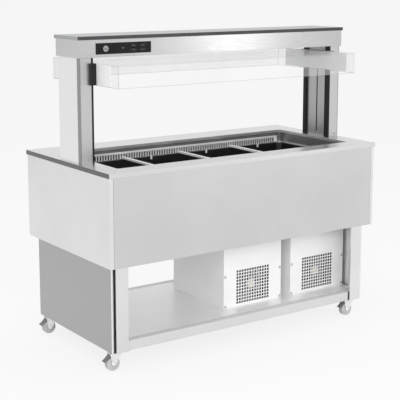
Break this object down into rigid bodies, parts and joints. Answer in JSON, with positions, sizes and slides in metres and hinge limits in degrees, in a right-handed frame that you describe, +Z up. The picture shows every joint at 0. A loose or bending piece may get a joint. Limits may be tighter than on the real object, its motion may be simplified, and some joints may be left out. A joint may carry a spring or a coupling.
{
  "type": "refrigerated buffet island",
  "caption": "Wheeled stainless buffet island with a chilled well, a gantry carrying a clear lifting hood, an open shelf base and enclosed condensing units.",
  "frame": {"origin": "on the floor under the middle of the deck", "axes": "+X along the length to the right as seen from the front, -Y towards the front with the controls, +Z up"},
  "size_m": [1.55, 0.8, 1.48],
  "materials": {
    "stainless": "fine brushed",
    "tank_steel": "satin",
    "shelf_steel": "satin",
    "lid_steel": "satin",
    "foam": "matte",
    "coil_fins": "satin",
    "dark_trim": "matte",
    "black_plastic": "satin",
    "black_gloss": "gloss",
    "button_dark": "gloss",
    "button_grey": "satin",
    "clear_acrylic": "polished",
    "pale_paint": "satin",
    "rod_chrome": "polished",
    "actuator_paint": "satin",
    "unit_paint": "satin",
    "inner_steel": "satin",
    "machine_black": "satin",
    "fan_plastic": "satin",
    "zinc_plate": "satin",
    "wheel_grey": "matte",
    "pedal_dark": "satin"
  },
  "bodies": {
    "cabinet": {"deck_top": "stainless", "front_skirt": "stainless", "back_skirt": "stainless", "left_skirt": "stainless", "right_skirt": "stainless", "column_left": "stainless", "column_right": "stainless", "column_panels": "stainless", "gantry_beam": "stainless", "post_covers": "stainless", "left_end_panel": "stainless", "right_end_panel": "stainless", "base_frame": "stainless", "pan_bars": "stainless", "well_tank": "tank_steel", "air_outlet_grille": "tank_steel", "floor_pan": "tank_steel", "shelf_left": "shelf_steel", "shelf_right": "shelf_steel", "gantry_lid": "lid_steel", "well_insulation": "foam", "evaporator_coil": "coil_fins", "condenser_coils": "coil_fins", "column_trims": "dark_trim", "lid_edging": "dark_trim", "guide_rails": "black_plastic", "control_fascia": "black_gloss", "lift_actuators": "actuator_paint", "unit_cover_left": "unit_paint", "unit_cover_right": "unit_paint", "unit_front_left": "unit_paint", "unit_front_right": "unit_paint", "fan_shrouds": "inner_steel", "compressors": "machine_black", "fan_motors": "machine_black", "caster_plates": "zinc_plate"},
    "hood": {"hood_canopy": "clear_acrylic", "carriage_plates": "pale_paint", "guide_shoes": "black_plastic", "lift_rods": "rod_chrome"},
    "power_button": {"power_button": "button_dark"},
    "raise_key": {"raise_key": "button_grey"},
    "lower_key": {"lower_key": "button_grey"},
    "light_key": {"light_key": "button_grey"},
    "defrost_key": {"defrost_key": "button_grey"},
    "fan_left": {"fan_rotor_left": "fan_plastic"},
    "fan_right": {"fan_rotor_right": "fan_plastic"},
    "swivel_front_left": {"caster_fork_front_left": "zinc_plate"},
    "wheel_front_left": {"caster_wheel_front_left": "wheel_grey"},
    "pedal_front_left": {"brake_pedal_front_left": "pedal_dark"},
    "swivel_front_right": {"caster_fork_front_right": "zinc_plate"},
    "wheel_front_right": {"caster_wheel_front_right": "wheel_grey"},
    "pedal_front_right": {"brake_pedal_front_right": "pedal_dark"},
    "swivel_back_left": {"caster_fork_back_left": "zinc_plate"},
    "wheel_back_left": {"caster_wheel_back_left": "wheel_grey"},
    "pedal_back_left": {"brake_pedal_back_left": "pedal_dark"},
    "swivel_back_right": {"caster_fork_back_right": "zinc_plate"},
    "wheel_back_right": {"caster_wheel_back_right": "wheel_grey"},
    "pedal_back_right": {"brake_pedal_back_right": "pedal_dark"}
  },
  "joints": [
    {"name": "hood_slide", "type": "slide", "parent": "cabinet", "child": "hood", "axis": [0, 0, 1], "range_m": [-0.35, 0]},
    {"name": "power_button_press", "type": "slide", "parent": "cabinet", "child": "power_button", "axis": [0, 1, 0], "range_m": [0, 0.0015], "stiffness_N_per_m": 600},
    {"name": "raise_key_press", "type": "slide", "parent": "cabinet", "child": "raise_key", "axis": [0, 1, 0], "range_m": [0, 0.0015], "stiffness_N_per_m": 600},
    {"name": "lower_key_press", "type": "slide", "parent": "cabinet", "child": "lower_key", "axis": [0, 1, 0], "range_m": [0, 0.0015], "stiffness_N_per_m": 600},
    {"name": "light_key_press", "type": "slide", "parent": "cabinet", "child": "light_key", "axis": [0, 1, 0], "range_m": [0, 0.0015], "stiffness_N_per_m": 600},
    {"name": "defrost_key_press", "type": "slide", "parent": "cabinet", "child": "defrost_key", "axis": [0, 1, 0], "range_m": [0, 0.0015], "stiffness_N_per_m": 600},
    {"name": "fan_left_spin", "type": "hinge", "parent": "cabinet", "child": "fan_left", "pos_m": [0.135, -0.19, 0.2344], "axis": [0, 1, 0], "continuous": true},
    {"name": "fan_right_spin", "type": "hinge", "parent": "cabinet", "child": "fan_right", "pos_m": [0.553, -0.19, 0.2344], "axis": [0, 1, 0], "continuous": true},
    {"name": "swivel_front_left", "type": "hinge", "parent": "cabinet", "child": "swivel_front_left", "pos_m": [-0.7, -0.312, 0.0867], "axis": [0, 0, 1], "continuous": true},
    {"name": "roll_front_left", "type": "hinge", "parent": "swivel_front_left", "child": "wheel_front_left", "pos_m": [-0.722, -0.312, 0.032], "axis": [0, 1, 0], "continuous": true},
    {"name": "brake_front_left", "type": "hinge", "parent": "swivel_front_left", "child": "pedal_front_left", "pos_m": [-0.734, -0.312, 0.07], "axis": [0, -1, 0], "range_deg": [0, 12]},
    {"name": "swivel_front_right", "type": "hinge", "parent": "cabinet", "child": "swivel_front_right", "pos_m": [0.7, -0.312, 0.0867], "axis": [0, 0, 1], "continuous": true},
    {"name": "roll_front_right", "type": "hinge", "parent": "swivel_front_right", "child": "wheel_front_right", "pos_m": [0.678, -0.312, 0.032], "axis": [0, 1, 0], "continuous": true},
    {"name": "brake_front_right", "type": "hinge", "parent": "swivel_front_right", "child": "pedal_front_right", "pos_m": [0.666, -0.312, 0.07], "axis": [0, -1, 0], "range_deg": [0, 12]},
    {"name": "swivel_back_left", "type": "hinge", "parent": "cabinet", "child": "swivel_back_left", "pos_m": [-0.7, 0.312, 0.0867], "axis": [0, 0, 1], "continuous": true},
    {"name": "roll_back_left", "type": "hinge", "parent": "swivel_back_left", "child": "wheel_back_left", "pos_m": [-0.722, 0.312, 0.032], "axis": [0, 1, 0], "continuous": true},
    {"name": "brake_back_left", "type": "hinge", "parent": "swivel_back_left", "child": "pedal_back_left", "pos_m": [-0.734, 0.312, 0.07], "axis": [0, -1, 0], "range_deg": [0, 12]},
    {"name": "swivel_back_right", "type": "hinge", "parent": "cabinet", "child": "swivel_back_right", "pos_m": [0.7, 0.312, 0.0867], "axis": [0, 0, 1], "continuous": true},
    {"name": "roll_back_right", "type": "hinge", "parent": "swivel_back_right", "child": "wheel_back_right", "pos_m": [0.678, 0.312, 0.032], "axis": [0, 1, 0], "continuous": true},
    {"name": "brake_back_right", "type": "hinge", "parent": "swivel_back_right", "child": "pedal_back_right", "pos_m": [0.666, 0.312, 0.07], "axis": [0, -1, 0], "range_deg": [0, 12]}
  ]
}
